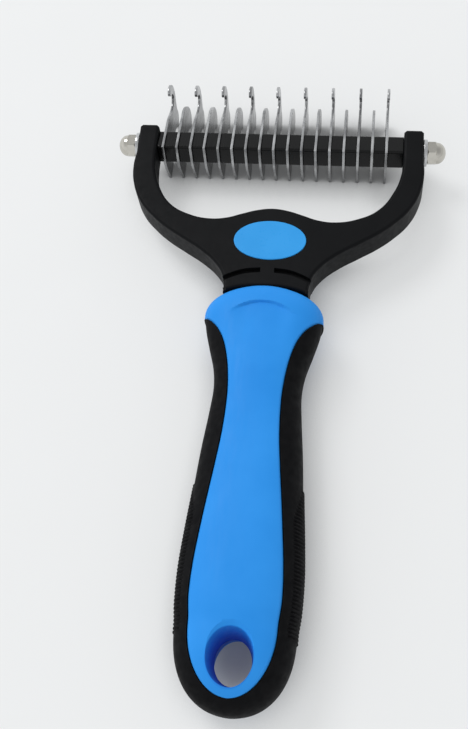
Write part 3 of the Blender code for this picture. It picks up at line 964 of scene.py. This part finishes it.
def build_shaft(material):
    """The rod, with its threaded ends cut as a real helix."""
    half = (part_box("blade_shaft")[1].x - SHAFT.x) / MM
    rings = []
    at = -half
    while at <= half + 1e-6:
        into = half - abs(at)
        threaded = smooth_step((THREAD_LENGTH - into) / THREAD_RUN_OUT)
        fine = into < THREAD_LENGTH + 0.5
        chamfer = ROD_CHAMFER * max(0.0, 1 - into / CHAMFER_LENGTH)
        ring = []
        for i in range(ROD_SIDES):
            turn = i / ROD_SIDES
            phase = (at / THREAD_PITCH - turn) % 1.0
            groove = abs(2 * phase - 1)
            radius = SHAFT_RADIUS - THREAD_DEPTH * groove * threaded - chamfer
            angle = 2 * math.pi * turn
            ring.append((at, radius * math.cos(angle), radius * math.sin(angle)))
        rings.append(ring)
        plain = min(LONGEST_ROW, max(0.1, half - THREAD_LENGTH - abs(at)))
        at += THREAD_PITCH / ROWS_PER_THREAD if fine else plain
    mesh = ring_loft("threaded_rod", rings)
    shade(mesh, 60)
    mesh.transform(AT_SHAFT)
    add_piece("threaded_rod", mesh, material, "blade_set", "shaft_steel", "blade_shaft")


# ---------------------------------------------------------------- washers and cap nuts


def nut_mesh(length):
    """A domed hexagonal cap nut with chamfered corners and a blind bore."""
    corner = NUT_FLATS / 2 / math.cos(math.pi / 6)
    across = NUT_FLATS / 2
    foot = NUT_BASE + NUT_STEP
    dome = [(0.0, length)]
    for degrees in range(80, -1, -8):
        angle = math.radians(degrees)
        rise = (length - foot) * math.sin(angle)
        dome.append((0.985 * across * math.cos(angle), foot + rise))
    chamfered = [
        (across + 0.02, NUT_BASE + 0.02), (corner - 0.05, NUT_BASE - 0.32),
        (corner - 0.05, NUT_CHAMFER), (across + 0.05, 0.0),
    ]
    drilled = [
        (NUT_BORE, 0.0), (NUT_BORE, length - NUT_TOP_WALL - 0.1), (0.0, length - NUT_TOP_WALL),
    ]
    profile = [*dome, *chamfered, *drilled]
    mesh = turned("nut", profile, 72)
    prism = bmesh.new()
    bmesh.ops.create_cone(
        prism, cap_ends=True, segments=6, radius1=corner * MM, radius2=corner * MM,
        depth=4 * length * MM,
    )
    flats = bpy.data.meshes.new("flats")
    prism.to_mesh(flats)
    prism.free()
    mesh = boolean(mesh, flats, "INTERSECT")
    shade(clean(mesh), 25)
    return mesh


def build_fasteners(washer_material, nut_material):
    for side, facing in (("left", -1.0), ("right", 1.0)):
        low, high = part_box("cap_nut_" + side)
        tip = max(abs(low.x - SHAFT.x), abs(high.x - SHAFT.x)) / MM
        base = ARM_OUTSIDE + NUT_OFF
        nut = nut_mesh(tip - base)
        nut.transform(along_x(facing * base, facing))
        piece = add_piece(
            f"cap_nut_{side}_domed", nut, nut_material, f"cap_nut_{side}", "nut_chrome",
            "cap_nut_" + side,
        )
        even_normals(piece)
        profile = ring_profile(WASHER_BORE, WASHER_RADIUS, WASHER_HALF, WASHER_EDGE)
        washer = turned("washer", profile, 64)
        shade(washer, 40)
        washer.transform(along_x(facing * (ARM_OUTSIDE + WASHER_OFF + WASHER_HALF), facing))
        add_piece(
            f"washer_{side}_ring", washer, washer_material, f"washer_{side}", "washer_steel",
            "washer_" + side,
        )


# ---------------------------------------------------------------- the stage


def build_stage():
    mesh = bpy.data.meshes.new("table")
    work = bmesh.new()
    bmesh.ops.create_grid(work, x_segments=2, y_segments=2, size=TABLE_HALF)
    work.to_mesh(mesh)
    work.free()
    look = Shading("table", 0.6)
    cloud = look.spread(look.noise(3.0, 2.0), 0.0, 1.0)
    look.colour(cloud, (0.345, 0.347, 0.350), (0.355, 0.357, 0.360))
    # Painted light: the table glows by itself, and ambient occlusion dims the glow close to
    # things, painting contact shadows.
    look.put("Emission Color", (0.985, 1.0, 1.0, 1.0))
    nearby = look.nodes.new("ShaderNodeAmbientOcclusion")
    nearby.samples = 12
    nearby.inputs["Distance"].default_value = FILL_REACH * MM
    fill = look.spread(nearby.outputs["AO"], FILL_LEAST * FLOOR_FILL, FLOOR_FILL, *FILL_SPAN)
    look.links.new(fill, look.shader.inputs["Emission Strength"])
    look.put("Specular IOR Level", 0.1)
    look.roughness(look.spread(look.noise(40.0, 2.0), 0.55, 0.7))
    mesh.materials.append(look.material)
    table = bpy.data.objects.new("table", mesh)
    bpy.context.scene.collection.objects.link(table)
    table.location.z = FLOOR - TABLE_DROP * MM


def build_world():
    """A pale studio all round, bright towards the walls, dimmer overhead and to the right."""
    world = bpy.data.worlds.new("studio")
    world.use_nodes = True
    nodes, links = world.node_tree.nodes, world.node_tree.links
    background = nodes["Background"]
    background.inputs["Color"].default_value = (0.97, 0.985, 1.0, 1.0)
    up = nodes.new("ShaderNodeSeparateXYZ")
    links.new(nodes.new("ShaderNodeTexCoord").outputs["Generated"], up.inputs["Vector"])
    fade = nodes.new("ShaderNodeMapRange")
    fade.interpolation_type = "SMOOTHSTEP"
    fade.inputs["From Min"].default_value = FADE_SPAN[0]
    fade.inputs["From Max"].default_value = FADE_SPAN[1]
    fade.inputs["To Min"].default_value = WALL_LIGHT
    fade.inputs["To Max"].default_value = CEILING_LIGHT
    links.new(up.outputs["Z"], fade.inputs["Value"])
    sideways = nodes.new("ShaderNodeMapRange")
    sideways.inputs["From Min"].default_value = -1.0
    sideways.inputs["From Max"].default_value = 1.0
    sideways.inputs["To Min"].default_value = 2.0 - RIGHT_LIGHT
    sideways.inputs["To Max"].default_value = RIGHT_LIGHT
    links.new(up.outputs["X"], sideways.inputs["Value"])
    both = nodes.new("ShaderNodeMath")
    both.operation = "MULTIPLY"
    links.new(fade.outputs["Result"], both.inputs[0])
    links.new(sideways.outputs["Result"], both.inputs[1])
    links.new(both.outputs["Value"], background.inputs["Strength"])
    bpy.context.scene.world = world


def build_light():
    """A round soft box above and beyond the head, to the left, aimed at the frame's origin."""
    data = bpy.data.lights.new("key", "AREA")
    data.shape = "DISK"
    data.size = KEY_SIZE
    data.energy = KEY_POWER
    lamp = bpy.data.objects.new("key", data)
    bpy.context.scene.collection.objects.link(lamp)
    lamp.location = KEY_AT
    lamp.rotation_euler = (-Vector(KEY_AT)).to_track_quat("-Z", "Y").to_euler()


def build_camera():
    data = bpy.data.cameras.new("camera")
    data.sensor_width = SENSOR
    data.lens = LENS
    camera = bpy.data.objects.new("camera", data)
    bpy.context.scene.collection.objects.link(camera)
    turn = (AIM - EYE).to_track_quat("-Z", "Y").to_matrix().to_4x4()
    camera.matrix_world = Matrix.Translation(EYE) @ turn @ Matrix.Rotation(ROLL, 4, "Z")
    bpy.context.scene.camera = camera


build_camera()
build_world()
build_light()
bpy.context.scene.view_settings.view_transform = "Standard"
build_stage()

build_yoke(yoke_plastic())
build_ovals(oval_plastic())
build_shells(blue_plastic())
build_grip(grip_rubber())
build_blades(blade_steel())
build_spacers(spacer_plastic())
build_shaft(turned_steel("shaft_steel", (0.50, 0.505, 0.51), 0.22, 0.36))
build_fasteners(
    turned_steel("washer_steel", (0.58, 0.585, 0.59), 0.16, 0.30),
    turned_steel("nut_chrome", (0.56, 0.54, 0.49), 0.05, 0.12),
)
